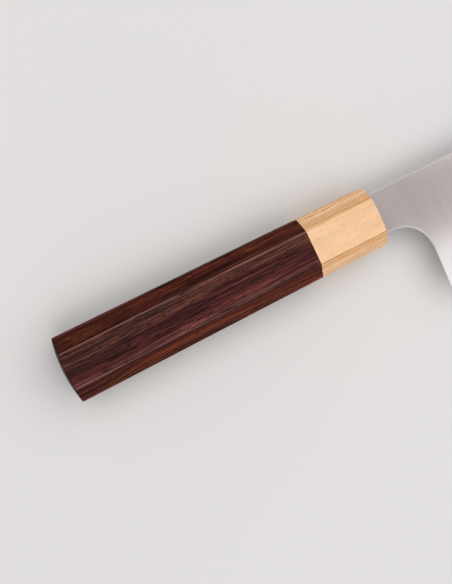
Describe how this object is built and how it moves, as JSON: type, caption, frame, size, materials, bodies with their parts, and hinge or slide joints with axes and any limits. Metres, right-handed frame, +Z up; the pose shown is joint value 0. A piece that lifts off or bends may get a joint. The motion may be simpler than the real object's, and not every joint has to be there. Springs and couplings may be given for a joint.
{
  "type": "santoku knife",
  "caption": "Kitchen knife with a tall sheep's-foot blade for slicing and chopping, and a tapered octagonal dark wood handle with a pale wood ferrule.",
  "frame": {"origin": "middle of the knife's footprint, on the surface that it lies on with the flat of the blade level", "axes": "+X along the handle's axis from the butt to the tip, +Y from the cutting edge towards the spine, +Z up, square to the flat of the blade"},
  "size_m": [0.3278, 0.0542, 0.02],
  "materials": {
    "blade_steel": "satin, faint fine lines from spine to edge",
    "pale_wood": "smooth, oiled",
    "rosewood": "smooth, oiled, streaked",
    "dowel_wood": "raw",
    "resin": "cured"
  },
  "bodies": {
    "root": {"blade": "blade_steel", "ferrule": "pale_wood", "handle_body": "rosewood", "dowel": "dowel_wood", "tang_bedding": "resin"}
  },
  "joints": []
}
